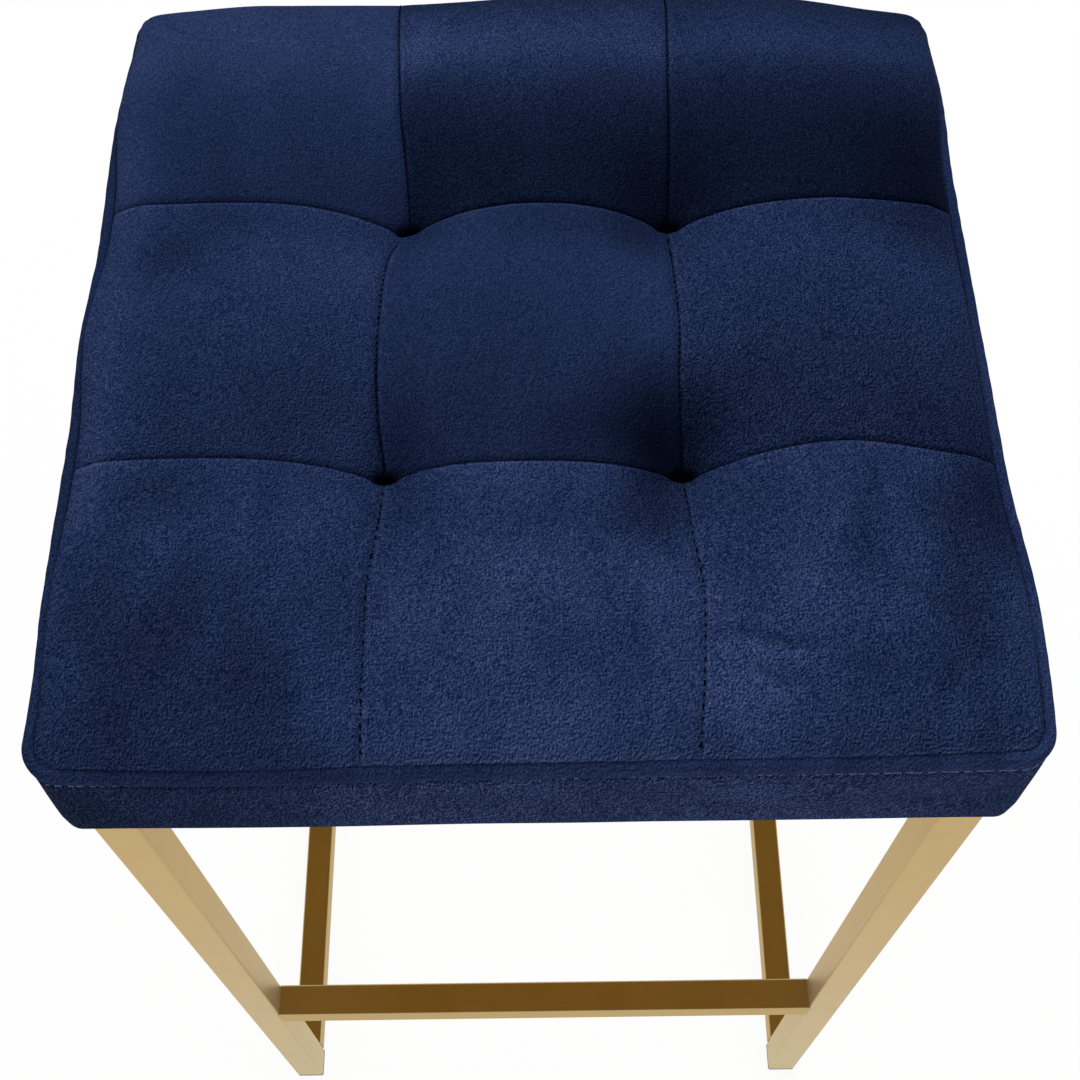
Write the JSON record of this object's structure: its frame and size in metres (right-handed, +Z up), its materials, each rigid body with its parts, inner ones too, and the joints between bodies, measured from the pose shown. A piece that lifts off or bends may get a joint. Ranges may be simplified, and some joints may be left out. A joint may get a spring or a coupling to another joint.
{
  "type": "counter stool",
  "caption": "Backless counter stool: a thick square velvet cushion, tufted and edged with a welt, on a frame of square gold-coloured tube with a raised foot rail in front",
  "frame": {"origin": "on the floor under the middle of the stool", "axes": "+X to the sitter's right as seen from the front with the foot rail toward the viewer, +Y to the rear, +Z up; the foot rail is on the -Y side"},
  "size_m": [0.386, 0.398, 0.682],
  "materials": {
    "gold_tube": "satin gold-coloured plating",
    "glide_plastic": "moulded, matte",
    "plywood": "raw sanded plywood",
    "zinc_steel": "zinc plated",
    "foam": "open-cell foam",
    "velvet": "short-pile velvet",
    "twine": "waxed twine",
    "staple_wire": "bright wire",
    "dust_cloth": "non-woven cloth"
  },
  "bodies": {
    "root": {"leg_front_left": "gold_tube", "leg_front_right": "gold_tube", "leg_rear_left": "gold_tube", "leg_rear_right": "gold_tube", "runner_left": "gold_tube", "runner_right": "gold_tube", "runner_rear": "gold_tube", "foot_rail": "gold_tube", "top_rail_left": "gold_tube", "top_rail_right": "gold_tube", "top_rail_front": "gold_tube", "top_rail_rear": "gold_tube", "seat_tabs": "gold_tube", "glide_front_left": "glide_plastic", "glide_front_right": "glide_plastic", "glide_rear_left": "glide_plastic", "glide_rear_right": "glide_plastic", "seat_board": "plywood", "t_nuts": "zinc_steel", "seat_bolts": "zinc_steel", "bolt_washers": "zinc_steel", "foam_pad": "foam", "seat_cover": "velvet", "welt": "velvet", "border": "velvet", "tuft_twines": "twine", "cover_staples": "staple_wire", "dust_cover": "dust_cloth", "dust_staples": "staple_wire"}
  },
  "joints": []
}
